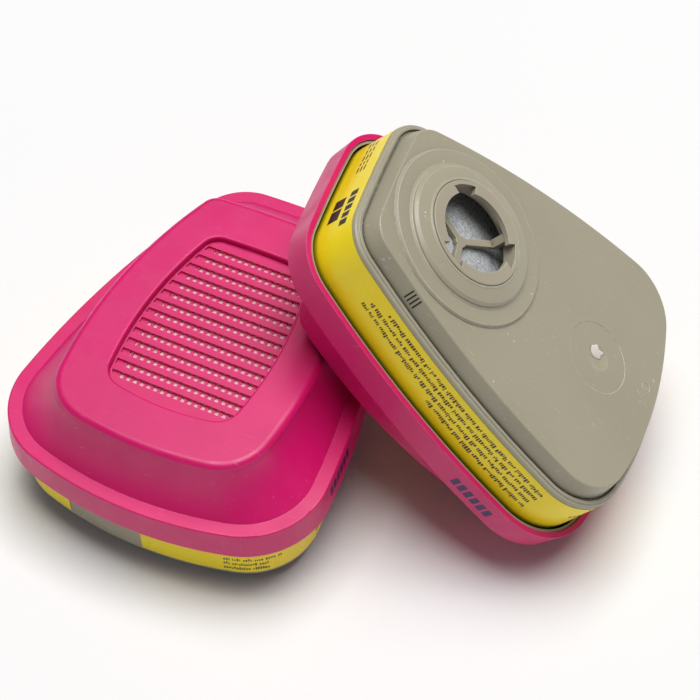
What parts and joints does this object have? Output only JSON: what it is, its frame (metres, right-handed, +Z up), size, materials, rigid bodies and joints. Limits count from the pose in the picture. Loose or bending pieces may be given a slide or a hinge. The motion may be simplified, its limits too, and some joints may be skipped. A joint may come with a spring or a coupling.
{
  "type": "pair of respirator filter cartridges",
  "caption": "Pair of wedge-shaped bayonet filter cartridges for a half mask, magenta particulate cap with a louvred intake over a grey sorbent cup.",
  "frame": {"origin": "bottom centre of the bounding box of both cartridges, on the surface they stand on", "axes": "+Z up, +X from the lying cartridge towards the leaning one, which is the longest extent, +Y across, towards the narrow end of the lying cartridge"},
  "size_m": [0.1627, 0.1354, 0.0952],
  "materials": {
    "cup_grey": "moulded, slightly grained, satin",
    "port_grey": "moulded, satin",
    "fleece_blue_grey": "nonwoven",
    "carbon_black": "packed granules",
    "lid_grey": "moulded, satin",
    "seal_white": "poured potting compound, matt",
    "media_cream": "pleated glass fibre paper, matt",
    "felt_cream": "thin felt, matt",
    "cap_magenta": "moulded, satin with a soft sheen",
    "label_yellow": "glossy printed film"
  },
  "bodies": {
    "lying_cartridge": {"lying_cup": "cup_grey", "lying_bayonet_port": "port_grey", "lying_port_spider": "port_grey", "lying_rear_fleece": "fleece_blue_grey", "lying_carbon_bed": "carbon_black", "lying_front_fleece": "fleece_blue_grey", "lying_carbon_lid": "lid_grey", "lying_media_seal": "seal_white", "lying_pleated_media": "media_cream", "lying_prefilter_felt": "felt_cream", "lying_intake_grille": "cap_magenta", "lying_front_cap": "cap_magenta", "lying_label_band": "label_yellow"},
    "leaning_cartridge": {"leaning_cup": "cup_grey", "leaning_bayonet_port": "port_grey", "leaning_port_spider": "port_grey", "leaning_rear_fleece": "fleece_blue_grey", "leaning_carbon_bed": "carbon_black", "leaning_front_fleece": "fleece_blue_grey", "leaning_carbon_lid": "lid_grey", "leaning_media_seal": "seal_white", "leaning_pleated_media": "media_cream", "leaning_prefilter_felt": "felt_cream", "leaning_intake_grille": "cap_magenta", "leaning_front_cap": "cap_magenta", "leaning_label_band": "label_yellow"}
  },
  "joints": [
    {"name": "leaning_lift", "type": "slide", "parent": "lying_cartridge", "child": "leaning_cartridge", "axis": [0, 0, 1], "range_m": [0, 0.12]}
  ]
}
